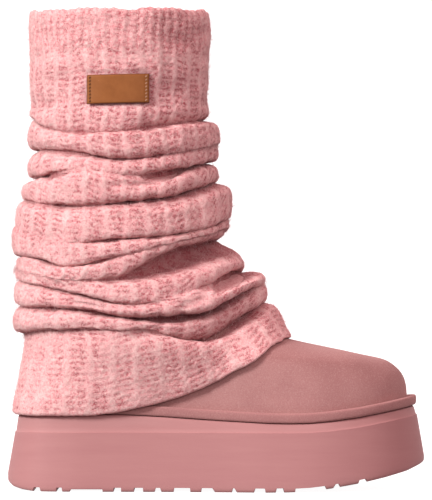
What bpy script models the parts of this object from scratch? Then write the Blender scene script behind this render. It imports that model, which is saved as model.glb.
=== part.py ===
"""Platform sheepskin boot with a slouched knit leg, for the right foot. Metres, toe towards +X, the side of the
little toe towards -Y, standing on z = 0."""

import bmesh
import bpy
import numpy as np
from mathutils import Vector
from mathutils.bvhtree import BVHTree

SOLE_LENGTH = 0.2802  # heel to toe over the flare
SOLE_WIDTH = 0.108  # at the ball, over the flare
PLATFORM_HEIGHT = 0.050  # at the heel
BOOT_HEIGHT = 0.320  # floor to the rim of the knit
FLARE = 0.0070  # how far the foot of the platform stands out past its top
EDGE_ROUND = 0.0020
STEP_DEPTH = 0.0008  # the upper band of the platform is set in this far
LUG_HEIGHT = 0.0028
RIB_WIDTH = 0.0050  # the two lengthwise grooves of the tread
UPPER_INSET = 0.0033  # from the top edge of the platform to the foot of the upper
UPPER_HEIGHT = 0.104  # platform to collar
UPPER_WALL = 0.0026
ANKLE_WIDTH = 0.074
WELT_HEIGHT = 0.0067
WELT_WIDTH = 0.0046  # at the toe, past the upper
INSOLE_THICK = 0.0045
KNIT_WALL = 0.0036
FOLD_DEPTH = 0.010  # the deepest fold is 1.33 of this
KNIT_WIDTH = 0.110  # across the leg, over the fullest fold
LABEL_LENGTH = 0.0414
LABEL_HEIGHT = 0.0193
LABEL_THICK = 0.0016
FIT = 0.0003  # between pieces that touch
SIDES = 44  # points round each ring

LEG_HEIGHT = BOOT_HEIGHT - PLATFORM_HEIGHT

# Half widths of the platform's foot every 15 degrees from the toe tip by the big-toe side, shares of SOLE_WIDTH.
PLAN = [
    0.06, 0.255, 0.385, 0.465, 0.492, 0.465, 0.42, 0.388, 0.38, 0.388, 0.338, 0.195,
    0.0, -0.195, -0.342, -0.40, -0.412, -0.425, -0.455, -0.50, -0.508, -0.44, -0.312, -0.135,
]
# Side view of the platform: x as a share of SOLE_LENGTH from its middle, heights as shares of PLATFORM_HEIGHT.
SIDE_X = [-0.5, -0.492, -0.48, -0.46, -0.43, -0.24, -0.12, 0.0, 0.12, 0.17, 0.22, 0.27, 0.34, 0.40, 0.45, 0.485, 0.5]
SIDE_TOP = [0.98, 0.985, 0.99, 1.0, 1.01, 1.02, 0.985, 0.94, 0.905, 0.90, 0.905, 0.93, 0.98, 1.04, 1.09, 1.125, 1.14]
SIDE_STEP = [0.76, 0.76, 0.765, 0.77, 0.775, 0.78, 0.78, 0.78, 0.78, 0.78, 0.785, 0.805, 0.855, 0.915, 0.96, 0.995, 1.01]
SIDE_FOOT = [0.15, 0.09, 0.045, 0.018, 0.0, 0.0, 0.0, 0.0, 0.0, 0.005, 0.02, 0.055, 0.12, 0.19, 0.26, 0.335, 0.375]
# Tread grooves across the sole: middle as a share of SOLE_LENGTH, width the same, depth as a share of LUG_HEIGHT.
GROOVES = [
    (-0.424, 0.0152, 1.0), (-0.371, 0.0135, 1.0), (-0.306, 0.074, 0.62), (-0.234, 0.018, 1.0),
    (-0.184, 0.0216, 1.0), (-0.136, 0.0132, 1.0), (-0.080, 0.038, 1.0), (-0.0187, 0.031, 1.0),
    (0.0436, 0.0088, 1.0), (0.104, 0.024, 1.0), (0.151, 0.0168, 1.0), (0.221, 0.070, 0.85),
    (0.282, 0.0128, 0.9), (0.343, 0.0149, 0.85),
]
# Rings of the upper: front x and back x (shares of SOLE_LENGTH), front and back height (shares of UPPER_HEIGHT above
# PLATFORM_HEIGHT), share of the footprint's width, and how far the ring has turned from footprint into oval.
UPPER = [
    (0.4585, 0.135, -0.4625, 0.08, 1.008, 0.0),
    (0.4560, 0.195, -0.4620, 0.135, 1.0, 0.02),
    (0.4480, 0.255, -0.4600, 0.19, 0.99, 0.06),
    (0.4320, 0.304, -0.4575, 0.24, 0.98, 0.14),
    (0.4060, 0.346, -0.4545, 0.285, 0.965, 0.24),
    (0.3690, 0.378, -0.4520, 0.32, 0.95, 0.35),
    (0.3160, 0.405, -0.4500, 0.35, 0.93, 0.47),
    (0.2600, 0.433, -0.4480, 0.385, 0.90, 0.60),
    (0.2070, 0.464, -0.4465, 0.42, 0.88, 0.72),
    (0.1500, 0.508, -0.4450, 0.465, 0.86, 0.83),
    (0.0930, 0.575, -0.4445, 0.525, 0.85, 0.92),
    (0.0360, 0.665, -0.4450, 0.60, 0.85, 1.0),
    (-0.0050, 0.775, -0.4465, 0.71, 0.85, 1.0),
    (-0.0250, 0.89, -0.4485, 0.84, 0.85, 1.0),
    (-0.0310, 1.0, -0.4500, 0.975, 0.85, 1.0),
]
# Creases of the knit from the top down. Height above PLATFORM_HEIGHT (shares of LEG_HEIGHT) and depth (shares of
# FOLD_DEPTH) at every 30 degrees: front, then by the big-toe side to the back (180), then by the visible side.
# LIP is how far the fold above hangs down past the crease and SHOULDER where the fold below is full again, shares of
# FOLD_DEPTH.
CREASES = [
    dict(LIP=0.25, SHOULDER=0.15,
         HEIGHT=[0.730, 0.725, 0.712, 0.700, 0.704, 0.718, 0.737, 0.712, 0.697, 0.699, 0.714, 0.725],
         DEPTH=[0.75, 0.55, 0.40, 0.40, 0.40, 0.40, 0.36, 0.38, 0.40, 0.42, 0.46, 0.58]),
    dict(LIP=0.30, SHOULDER=0.45,
         HEIGHT=[0.675, 0.668, 0.655, 0.640, 0.646, 0.654, 0.657, 0.660, 0.652, 0.635, 0.646, 0.662],
         DEPTH=[0.0, 0.0, 0.25, 0.50, 0.55, 0.62, 0.74, 0.55, 0.46, 0.46, 0.25, 0.0]),
    dict(LIP=0.25, SHOULDER=0.30,
         HEIGHT=[0.626, 0.620, 0.610, 0.598, 0.594, 0.590, 0.585, 0.591, 0.601, 0.594, 0.596, 0.620],
         DEPTH=[0.80, 0.66, 0.50, 0.15, 0.10, 0.60, 1.20, 0.55, 0.12, 0.08, 0.45, 0.66]),
    dict(LIP=0.05, SHOULDER=0.50,
         HEIGHT=[0.575, 0.562, 0.545, 0.536, 0.530, 0.530, 0.533, 0.525, 0.519, 0.530, 0.541, 0.564],
         DEPTH=[0.70, 0.80, 0.85, 0.80, 0.60, 0.40, 0.30, 0.50, 0.80, 0.95, 0.95, 0.85]),
    dict(LIP=0.15, SHOULDER=0.25,
         HEIGHT=[0.486, 0.470, 0.456, 0.450, 0.446, 0.455, 0.463, 0.445, 0.427, 0.436, 0.447, 0.468],
         DEPTH=[0.10, 0.30, 0.45, 0.45, 0.20, 0.0, 0.0, 0.0, 0.40, 0.52, 0.52, 0.45]),
    dict(LIP=0.20, SHOULDER=0.35,
         HEIGHT=[0.461, 0.440, 0.415, 0.400, 0.385, 0.390, 0.393, 0.393, 0.368, 0.393, 0.413, 0.443],
         DEPTH=[0.0, 0.0, 0.0, 0.20, 0.50, 0.55, 0.50, 0.62, 0.66, 0.34, 0.0, 0.0]),
    dict(LIP=0.30, SHOULDER=0.60,
         HEIGHT=[0.433, 0.412, 0.378, 0.356, 0.350, 0.360, 0.363, 0.354, 0.342, 0.345, 0.374, 0.416],
         DEPTH=[1.33, 1.10, 0.70, 0.35, 0.10, 0.0, 0.0, 0.0, 0.12, 0.60, 0.95, 1.20]),
    dict(LIP=0.20, SHOULDER=0.40,
         HEIGHT=[0.353, 0.330, 0.302, 0.300, 0.310, 0.325, 0.336, 0.326, 0.303, 0.278, 0.292, 0.330],
         DEPTH=[0.90, 0.50, 0.15, 0.35, 0.45, 0.35, 0.22, 0.42, 0.50, 0.42, 0.12, 0.45]),
    dict(LIP=0.05, SHOULDER=0.45,
         HEIGHT=[0.314, 0.288, 0.262, 0.256, 0.262, 0.268, 0.273, 0.267, 0.265, 0.250, 0.250, 0.284],
         DEPTH=[0.10, 0.55, 0.70, 0.66, 0.60, 0.50, 0.36, 0.62, 0.70, 0.74, 0.72, 0.62]),
    dict(LIP=0.30, SHOULDER=0.60,
         HEIGHT=[0.277, 0.243, 0.200, 0.196, 0.204, 0.210, 0.201, 0.213, 0.208, 0.193, 0.193, 0.243],
         DEPTH=[0.42, 0.50, 0.30, 0.15, 0.25, 0.28, 0.25, 0.30, 0.30, 0.15, 0.30, 0.52]),
]
# Fullest line of each fold between two creases: front x and back x (shares of SOLE_LENGTH), half width across the
# foot (share of KNIT_WIDTH), and where it lies between the crease above and the one below.
FOLDS = [
    (0.0064, -0.4486, 0.485, 0.45),
    (-0.0010, -0.4518, 0.485, 0.55),
    (0.0039, -0.4643, 0.500, 0.50),
    (0.0364, -0.4800, 0.510, 0.45),
    (0.0300, -0.4886, 0.505, 0.50),
    (0.0180, -0.4800, 0.500, 0.50),
    (0.0682, -0.4820, 0.505, 0.60),
    (0.1150, -0.4886, 0.500, 0.50),
    (0.1206, -0.4893, 0.490, 0.50),
    (0.1430, -0.4625, 0.455, 0.35),
]
CUFF_FRONT, CUFF_BACK, CUFF_WIDTH = -0.0155, -0.4475, 0.470  # x shares of SOLE_LENGTH, half width of KNIT_WIDTH
HEM_HEIGHT = [0.190, 0.160, 0.090, 0.035, 0.006, 0.003, 0.006, 0.003, 0.004, 0.032, 0.090, 0.160]
HEM_FRONT, HEM_BACK = 0.1600, -0.4640
LABEL_X, LABEL_Z = -0.2316, 0.8025  # middle: shares of SOLE_LENGTH and, above PLATFORM_HEIGHT, of LEG_HEIGHT

TURN = 2 * np.pi * np.arange(SIDES) / SIDES
BACKWARDS = np.arange(SIDES)[::-1]


def around(values):
    """A smooth closed row through equally spaced values, read at SIDES places."""
    values = np.asarray(values, float)
    place = np.arange(SIDES) * len(values) / SIDES
    low = place.astype(int)
    f = place - low
    a, b, c, d = (values[(low + step) % len(values)] for step in (-1, 0, 1, 2))
    return b + 0.5 * f * (c - a + f * (2 * a - 5 * b + 4 * c - d + f * (3 * (b - c) + d - a)))


def along(table, x):
    """A side-view height at x."""
    return PLATFORM_HEIGHT * np.interp(x / SOLE_LENGTH, SIDE_X, table)


def outward(loop):
    """The level direction out of a closed loop at each of its points."""
    step = np.roll(loop, -1, axis=0) - np.roll(loop, 1, axis=0)
    side = np.stack([step[:, 1], -step[:, 0]], axis=1)
    return side / np.linalg.norm(side, axis=1, keepdims=True)


def outline(inset):
    """The platform's plan, moved in from its foot."""
    loop = np.stack([SOLE_LENGTH / 2 * np.cos(TURN), SOLE_WIDTH * around(PLAN)], axis=1)
    return loop - outward(loop) * inset


def at_height(loop, z):
    return np.column_stack([loop, np.broadcast_to(z, len(loop))])


def closed_mesh(name, rings, capped, colour, roughness):
    """An object from equal rings: a tube that closes on itself, or a stack with a strip-wise cap at each end."""
    rings = np.asarray(rings)
    count, sides = rings.shape[:2]
    faces = []
    for low in range(count - 1 if capped else count):
        high = (low + 1) % count
        for i in range(sides):
            j = (i + 1) % sides
            faces.append((low * sides + i, low * sides + j, high * sides + j, high * sides + i))
    if capped:
        for base in (0, (count - 1) * sides):
            for i in range(sides // 2):
                j = sides - i
                row = [base + i, base + i + 1, base + (j - 1), base + j % sides]
                faces.append(tuple(dict.fromkeys(row)))
    mesh = bpy.data.meshes.new(name)
    mesh.from_pydata(rings.reshape(-1, 3).tolist(), [], faces)
    work = bmesh.new()
    work.from_mesh(mesh)
    bmesh.ops.recalc_face_normals(work, faces=work.faces)
    work.to_mesh(mesh)
    work.free()
    item = bpy.data.objects.new(name, mesh)
    BOOT.objects.link(item)
    dress(item, colour, roughness)
    return item


def dress(item, colour, roughness):
    surface = bpy.data.materials.new(item.name)
    surface.use_nodes = True
    shader = surface.node_tree.nodes["Principled BSDF"]
    shader.inputs["Base Color"].default_value = (*colour, 1.0)
    shader.inputs["Roughness"].default_value = roughness
    item.data.materials.append(surface)


def cutter(name, blocks, target):
    """Cuts six-sided blocks, each given as 8 corners, out of an object."""
    quads = [(0, 1, 3, 2), (4, 6, 7, 5), (0, 4, 5, 1), (2, 3, 7, 6), (0, 2, 6, 4), (1, 5, 7, 3)]
    corners = [corner for block in blocks for corner in block]
    faces = [tuple(8 * k + i for i in quad) for k in range(len(blocks)) for quad in quads]
    mesh = bpy.data.meshes.new(name)
    mesh.from_pydata(corners, [], faces)
    work = bmesh.new()
    work.from_mesh(mesh)
    bmesh.ops.recalc_face_normals(work, faces=work.faces)
    work.to_mesh(mesh)
    work.free()
    item = bpy.data.objects.new(name, mesh)
    item.hide_render = True
    item.display_type = "WIRE"
    CUTTERS.objects.link(item)
    cut = target.modifiers.new(name, "BOOLEAN")
    cut.operation = "DIFFERENCE"
    cut.solver = "EXACT"
    cut.object = item


def make_platform():
    rows = []
    for inset, height in (
        (EDGE_ROUND + 0.004, 0.0),
        (EDGE_ROUND, 0.0),
        (0.0, EDGE_ROUND),
    ):
        loop = outline(inset)
        rows.append(at_height(loop, along(SIDE_FOOT, loop[:, 0]) + height))
    for inset, rise in ((FLARE * 0.69, -0.0002), (FLARE * 0.69 + STEP_DEPTH, 0.0008)):
        loop = outline(inset)
        rows.append(at_height(loop, along(SIDE_STEP, loop[:, 0]) + rise))
    for inset, drop in ((FLARE, EDGE_ROUND * 0.6), (FLARE + EDGE_ROUND * 0.6, 0.0)):
        loop = outline(inset)
        rows.append(at_height(loop, along(SIDE_TOP, loop[:, 0]) - drop))
    sole = closed_mesh("platform_sole", rows, True, (0.62, 0.27, 0.26), 0.6)
    across = []
    for middle, width, depth in GROOVES:
        ends = [(middle - width / 2) * SOLE_LENGTH, (middle + width / 2) * SOLE_LENGTH]
        across.append([
            (x, y, z)
            for x in ends
            for y in (-SOLE_WIDTH, SOLE_WIDTH)
            for z in (-0.01, along(SIDE_FOOT, x) + depth * LUG_HEIGHT)
        ])
    cutter("grooves_across", across, sole)
    lengthwise = []
    for side in (-1, 1):
        middle = side * 0.16 * SOLE_WIDTH
        lengthwise.append([
            (x * SOLE_LENGTH, middle + y * RIB_WIDTH, z)
            for x in (-0.40, 0.17)
            for y in (-0.5, 0.5)
            for z in (-0.01, 0.8 * LUG_HEIGHT)
        ])
    cutter("grooves_lengthwise", lengthwise, sole)


def upper_rings():
    """The outside of the upper from the platform to the collar."""
    foot = outline(FLARE + UPPER_INSET)
    rings = [at_height(foot, along(SIDE_TOP, foot[:, 0]) + FIT)]
    middle = (foot[:, 0].max() + foot[:, 0].min()) / 2
    half = (foot[:, 0].max() - foot[:, 0].min()) / 2
    place = (foot[:, 0] - middle) / half
    for front, front_z, back, back_z, width, oval in UPPER:
        centre, reach = (front + back) / 2 * SOLE_LENGTH, (front - back) / 2 * SOLE_LENGTH
        y = (1 - oval) * width * foot[:, 1] + oval * ANKLE_WIDTH / 2 * np.sin(TURN)
        x = centre + reach * ((1 - oval) * place + oval * np.cos(TURN))
        share = (place + 1) / 2
        level = PLATFORM_HEIGHT + UPPER_HEIGHT * (back_z + (front_z - back_z) * share)
        follow = max(0.0, 1 - 4 * oval) * (along(SIDE_TOP, x) - PLATFORM_HEIGHT * (1 + 0.12 * share))
        rings.append(np.column_stack([x, y, level + 0.75 * follow]))
    return np.array(rings)


def inside_of(rings, thick):
    """The same rings moved in by a wall's thickness along the surface's own normals."""
    across = np.roll(rings, -1, axis=1) - np.roll(rings, 1, axis=1)
    up = np.gradient(rings, axis=0)
    normal = np.cross(across, up)
    normal[0, :, 2] = 0.0
    normal /= np.linalg.norm(normal, axis=2, keepdims=True)
    return rings - thick * normal


def make_upper():
    outside = upper_rings()
    inside = inside_of(outside, UPPER_WALL)
    inside[0, :, 2] = along(SIDE_TOP, inside[0, :, 0]) + FIT
    inside[-1, :, 2] = outside[-1, :, 2]
    rings = [*outside, *inside[[14, 12, 10, 8, 6, 4, 2, 0]]]
    closed_mesh("upper", rings, False, (0.55, 0.24, 0.24), 0.9)
    return outside, inside


def make_welt(outside):
    foot = outside[0, :, :2]
    away = outward(foot)
    width = WELT_WIDTH * (0.82 + 0.18 * np.cos(TURN))
    section = [  # how far out, as a share of the width, and how high, as a share of WELT_HEIGHT
        (0.0, 0.0), (0.85, 0.0), (1.0, 0.18), (1.0, 0.58), (0.84, 0.84), (0.55, 0.98), (0.28, 1.0), (0.0, 0.9),
    ]
    lean = np.linalg.norm(outside[1, :, :2] - foot, axis=1)
    rings = []
    for out, high in section:
        loop = foot + away * (FIT + lean * high + (width - FIT) * out)[:, None]
        rings.append(at_height(loop, along(SIDE_TOP, loop[:, 0]) + 1.3 * FIT + high * WELT_HEIGHT))
    closed_mesh("welt", rings, False, (0.52, 0.22, 0.22), 0.9)


def make_insole(inside):
    foot = inside[0, :, :2]
    rows = []
    for inset, height in ((0.0012, 0.0), (0.0010, 0.2), (0.0014, 0.7), (0.0026, 1.0)):
        loop = foot - outward(foot) * inset
        rows.append(at_height(loop, along(SIDE_TOP, loop[:, 0]) + FIT + height * INSOLE_THICK))
    closed_mesh("insole", rows, True, (0.80, 0.62, 0.56), 0.95)


def oval(front, back, width):
    """A plan loop from its front and back x and its half width, and the way out of it."""
    loop = np.stack([
        SOLE_LENGTH * ((front + back) / 2 + (front - back) / 2 * np.cos(TURN)),
        KNIT_WIDTH * width * np.sin(TURN),
    ], axis=1)
    return loop, outward(loop)


def knit_profile():
    """Outer rows and inner rows of the knit, from the rim down to the hem's neighbour."""
    rim = at_height(*oval_row((CUFF_FRONT, CUFF_BACK, CUFF_WIDTH), BOOT_HEIGHT, 0.0015))
    outer = [rim]
    inner = [at_height(*oval_row((CUFF_FRONT, CUFF_BACK, CUFF_WIDTH), BOOT_HEIGHT, KNIT_WALL - 0.0008))]
    cuff = (CUFF_FRONT, CUFF_BACK, CUFF_WIDTH)
    for z in (BOOT_HEIGHT - 0.003, PLATFORM_HEIGHT + 0.9 * LEG_HEIGHT, PLATFORM_HEIGHT + 0.80 * LEG_HEIGHT):
        outer.append(at_height(*oval_row(cuff, z, 0.0)))
    for z in (BOOT_HEIGHT - 0.004, PLATFORM_HEIGHT + 0.80 * LEG_HEIGHT):
        inner.append(at_height(*oval_row(cuff, z, KNIT_WALL)))
    above = cuff
    heights = [around(crease["HEIGHT"]) for crease in CREASES] + [around(HEM_HEIGHT)]
    for k, crease in enumerate(CREASES):
        below = FOLDS[k]
        depth = FOLD_DEPTH * np.clip(around(crease["DEPTH"]), 0, None)
        z = PLATFORM_HEIGHT + LEG_HEIGHT * heights[k]
        strong = np.clip(depth / (0.4 * FOLD_DEPTH), 0, 1)
        halfway = tuple((a + b) / 2 for a, b in zip(above[:3], below[:3]))
        lip = FOLD_DEPTH * (crease["LIP"] + 0.15 * (1 - strong))
        shoulder = FOLD_DEPTH * (crease["SHOULDER"] + 0.15 * (1 - strong))
        outer.append(at_height(*oval_row(above, z + lip, 0.30 * depth)))
        outer.append(at_height(*oval_row(halfway, z, depth)))
        outer.append(at_height(*oval_row(below, z - shoulder, 0.45 * depth)))
        inner.append(at_height(*oval_row(halfway, z, depth + KNIT_WALL)))
        share = below[3]
        full = PLATFORM_HEIGHT + LEG_HEIGHT * ((1 - share) * heights[k] + share * heights[k + 1])
        outer.append(at_height(*oval_row(below, full, 0.0)))
        inner.append(at_height(*oval_row(below, full, KNIT_WALL)))
        above = below
    return outer, inner


def oval_row(size, z, inset):
    loop, away = oval(*size[:3])
    return loop - away * np.broadcast_to(inset, SIDES)[:, None], z


def keep_clear(row, tree, middle):
    """Moves a row's points out until they and the points halfway between them clear the upper and the welt."""
    row = row.copy()
    for _ in range(12):
        halfway = (row + np.roll(row, -1, axis=0)) / 2
        for i, point in enumerate(np.concatenate([row, halfway])):
            spot, normal, _, _ = tree.find_nearest(Vector(point))
            if normal.dot(spot - middle) < 0:
                normal = -normal
            low = np.clip((along(SIDE_TOP, spot.x) + WELT_HEIGHT + 0.0045 - point[2]) / 0.004, 0, 1)
            width = WELT_WIDTH * (0.82 + 0.18 * np.cos(TURN[i % SIDES]))
            short = 3 * FIT + width * low - (Vector(point) - spot).dot(normal)
            if short > 0:
                for j in {i % SIDES, (i + i // SIDES) % SIDES}:
                    row[j] += 0.35 * short * np.array(normal)
    return row


def make_knit(outside):
    faces = [
        (k * SIDES + i, k * SIDES + (i + 1) % SIDES, (k + 1) * SIDES + (i + 1) % SIDES, (k + 1) * SIDES + i)
        for k in range(len(outside) - 1)
        for i in range(SIDES)
    ]
    tree = BVHTree.FromPolygons([Vector(point) for point in outside.reshape(-1, 3)], faces)
    middle = Vector((-0.16 * SOLE_LENGTH, 0.0, 0.6 * PLATFORM_HEIGHT))
    outer, inner = knit_profile()
    hem, _ = oval(HEM_FRONT, HEM_BACK, 0.40)
    hem_z = PLATFORM_HEIGHT + LEG_HEIGHT * around(HEM_HEIGHT)
    hem_z = np.maximum(hem_z, along(SIDE_TOP, hem[:, 0]) + 2 * FIT)
    seated = []
    for x, y, z in at_height(hem, hem_z):
        spot, normal, _, _ = tree.find_nearest(Vector((x, y, z)))
        if normal.dot(spot - middle) < 0:
            normal = -normal
        point = spot + normal * 3 * FIT
        seated.append((point.x, point.y, z))
    seated = np.array(seated)
    seated = keep_clear(seated, tree, middle)
    last = keep_clear(inner[-1], tree, middle)
    outer[-1] += last - inner[-1]
    inner[-1] = last
    for share in (0.30, 0.60, 0.85):
        inner.append(keep_clear(last + (seated - last) * share, tree, middle))
    inner.append(seated)
    for row in inner[-4:]:
        out = row.copy()
        out[:, :2] += outward(row[:, :2]) * KNIT_WALL
        outer.append(out)
    rings = [*outer, *inner[::-1]]
    closed_mesh("knit_shaft", rings, False, (0.80, 0.42, 0.42), 0.95)
    return outer


def make_label(outer):
    """A plain strip laid on the outside of the cuff, on the visible side."""
    loop = outer[2]
    side = loop[loop[:, 1] < 0]
    order = np.argsort(side[:, 0])
    x = LABEL_X * SOLE_LENGTH + LABEL_LENGTH * np.linspace(-0.5, 0.5, 9)
    y = np.interp(x, side[order, 0], side[order, 1])
    middle = PLATFORM_HEIGHT + LABEL_Z * LEG_HEIGHT
    low, high = middle - LABEL_HEIGHT / 2, middle + LABEL_HEIGHT / 2
    rings = []
    for z in (low, high):
        back = np.column_stack([x, y - FIT - 0.0001])
        front = np.column_stack([x, y - FIT - 0.0001 - LABEL_THICK])
        rings.append(at_height(np.concatenate([back, front[::-1]]), z))
    closed_mesh("label", rings, True, (0.40, 0.17, 0.07), 0.5)


for old in list(bpy.data.objects):
    bpy.data.objects.remove(old, do_unlink=True)
BOOT = bpy.data.collections.new("platform_boot")
CUTTERS = bpy.data.collections.new("cutters")
CUTTERS.hide_render = True
bpy.context.scene.collection.children.link(BOOT)
bpy.context.scene.collection.children.link(CUTTERS)

make_platform()
outside, inside = make_upper()
make_welt(outside)
make_insole(inside)
knit_rows = make_knit(outside)
make_label(knit_rows)
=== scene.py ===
"""A platform sheepskin boot with a slouched knit leg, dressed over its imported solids. Metres, toe towards +X,
the side of the little toe towards -Y and the camera."""

import bmesh
import bpy
import numpy as np
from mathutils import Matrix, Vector


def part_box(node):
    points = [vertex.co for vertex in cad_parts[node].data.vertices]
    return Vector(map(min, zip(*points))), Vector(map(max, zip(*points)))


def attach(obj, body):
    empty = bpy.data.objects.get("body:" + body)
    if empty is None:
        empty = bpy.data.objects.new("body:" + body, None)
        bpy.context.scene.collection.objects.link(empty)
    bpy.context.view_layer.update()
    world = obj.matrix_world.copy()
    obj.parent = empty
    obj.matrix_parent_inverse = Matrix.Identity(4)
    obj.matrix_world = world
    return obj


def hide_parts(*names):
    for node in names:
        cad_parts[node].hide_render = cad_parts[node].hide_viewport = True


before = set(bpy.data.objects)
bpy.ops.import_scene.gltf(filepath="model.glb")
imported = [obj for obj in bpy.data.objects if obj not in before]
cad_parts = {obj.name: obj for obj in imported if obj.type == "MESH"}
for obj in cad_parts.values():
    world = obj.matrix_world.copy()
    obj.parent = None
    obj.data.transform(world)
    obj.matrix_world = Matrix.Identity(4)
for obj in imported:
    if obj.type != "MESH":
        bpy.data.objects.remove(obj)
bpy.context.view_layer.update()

SOLE_LOW, SOLE_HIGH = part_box("platform_sole")
KNIT_LOW, KNIT_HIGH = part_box("knit_shaft")
SOLE_LENGTH = SOLE_HIGH.x - SOLE_LOW.x
SOLE_WIDTH = 0.108
BOOT_HEIGHT = KNIT_HIGH.z
PLATFORM_HEIGHT = 0.05
FLARE = 0.007
EDGE_ROUND = 0.002
STEP_DEPTH = 0.0008
LUG_HEIGHT = 0.0028
RIB_WIDTH = 0.005
UPPER_INSET = 0.0033
UPPER_HEIGHT = 0.104
UPPER_WALL = 0.0026
ANKLE_WIDTH = 0.074
WELT_HEIGHT = 0.0067
WELT_WIDTH = 0.0046
KNIT_WALL = 0.0036
FOLD_DEPTH = 0.01
KNIT_WIDTH = 0.11
LABEL_LENGTH = 0.0414
LABEL_HEIGHT = 0.0193
LABEL_THICK = 0.0016
LABEL_TILT = 0.022  # its rise towards the toe, a share of its length
FIT = 0.0003
LEG_HEIGHT = BOOT_HEIGHT - PLATFORM_HEIGHT

KNIT_COLUMNS = 480
KNIT_ROWS = 540
RIBS = 29  # raised lines round the leg
COURSE = 0.0038  # from one row of loops to the next
FIBRES = 17000
DEEPER = 1.45  # how much further than in the solids a crease goes in

CAMERA_DISTANCE = 2.67  # from the camera to the boot's middle
CAMERA_X = -0.0002
CAMERA_HEIGHT = 0.1602
PIXEL = 0.000673  # the size of one at the boot's middle
LIT_POINT = (-0.02, 0.0, 0.15)  # where the lamps are turned to
# Lights: name, power, width, place, colour.
LIGHTS = [
    ("key", 81, 0.8, (-2.0, -1.55, 1.45), (1.0, 0.99, 0.98)),
    ("front", 18, 1.2, (0.6, -2.55, 0.92), (1.0, 0.9, 0.9)),
]
SKY = (0.16, 1.3)  # its strength straight down and straight up
SKY_TINT = (1.0, 0.7, 0.71, 1.0)
PAPER = (0.3, 0.3, 0.3, 1.0)
FLOOR_GLOW = 0.95

# Plan of the platform's foot every 15 degrees from the toe tip by the big-toe side, shares of SOLE_WIDTH.
PLAN = [
    0.06, 0.255, 0.385, 0.465, 0.492, 0.465, 0.42, 0.388, 0.38, 0.388, 0.338, 0.195,
    0.0, -0.195, -0.342, -0.4, -0.412, -0.425, -0.455, -0.5, -0.508, -0.44, -0.312, -0.135,
]
# Side view of the platform: x as a share of SOLE_LENGTH, heights as shares of PLATFORM_HEIGHT.
SIDE_X = [
    -0.5, -0.492, -0.48, -0.46, -0.43, -0.24, -0.12, 0.0, 0.12, 0.17, 0.22, 0.27, 0.34, 0.4, 0.45, 0.485, 0.5,
]
SIDE_TOP = [
    0.98, 0.985, 0.99, 1.0, 1.01, 1.02, 0.985, 0.94, 0.905, 0.9, 0.905, 0.93, 0.98, 1.04, 1.09, 1.125, 1.14,
]
SIDE_STEP = [
    0.76, 0.76, 0.765, 0.77, 0.775, 0.78, 0.78, 0.78, 0.78,
    0.78, 0.785, 0.805, 0.855, 0.915, 0.96, 0.995, 1.01,
]
SIDE_FOOT = [
    0.15, 0.09, 0.045, 0.018, 0.0, 0.0, 0.0, 0.0, 0.0, 0.005, 0.02, 0.055, 0.12, 0.19, 0.26, 0.335, 0.375,
]
# Tread grooves across the sole: middle and width as shares of SOLE_LENGTH, depth as a share of LUG_HEIGHT.
GROOVES = [
    (-0.424, 0.0152, 1.0), (-0.371, 0.0135, 1.0), (-0.306, 0.074, 0.62), (-0.234, 0.018, 1.0),
    (-0.184, 0.0216, 1.0), (-0.136, 0.0132, 1.0), (-0.08, 0.038, 1.0), (-0.0187, 0.031, 1.0),
    (0.0436, 0.0088, 1.0), (0.104, 0.024, 1.0), (0.151, 0.0168, 1.0), (0.221, 0.07, 0.85),
    (0.282, 0.0128, 0.9), (0.343, 0.0149, 0.85),
]
# Rings of the upper: front x and height, back x and height, share of the foot's width, turn into an oval.
UPPER = [
    (0.4585, 0.135, -0.4625, 0.08, 1.008, 0.0), (0.456, 0.195, -0.462, 0.135, 1.0, 0.02),
    (0.448, 0.255, -0.46, 0.19, 0.99, 0.06), (0.432, 0.304, -0.4575, 0.24, 0.98, 0.14),
    (0.406, 0.346, -0.4545, 0.285, 0.965, 0.24), (0.369, 0.378, -0.452, 0.32, 0.95, 0.35),
    (0.316, 0.405, -0.45, 0.35, 0.93, 0.47), (0.26, 0.433, -0.448, 0.385, 0.9, 0.6),
    (0.207, 0.464, -0.4465, 0.42, 0.88, 0.72), (0.15, 0.508, -0.445, 0.465, 0.86, 0.83),
    (0.093, 0.575, -0.4445, 0.525, 0.85, 0.92), (0.036, 0.665, -0.445, 0.6, 0.85, 1.0),
    (-0.005, 0.775, -0.4465, 0.71, 0.85, 1.0), (-0.025, 0.89, -0.4485, 0.84, 0.85, 1.0),
    (-0.031, 1.0, -0.45, 0.975, 0.85, 1.0),
]
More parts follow.
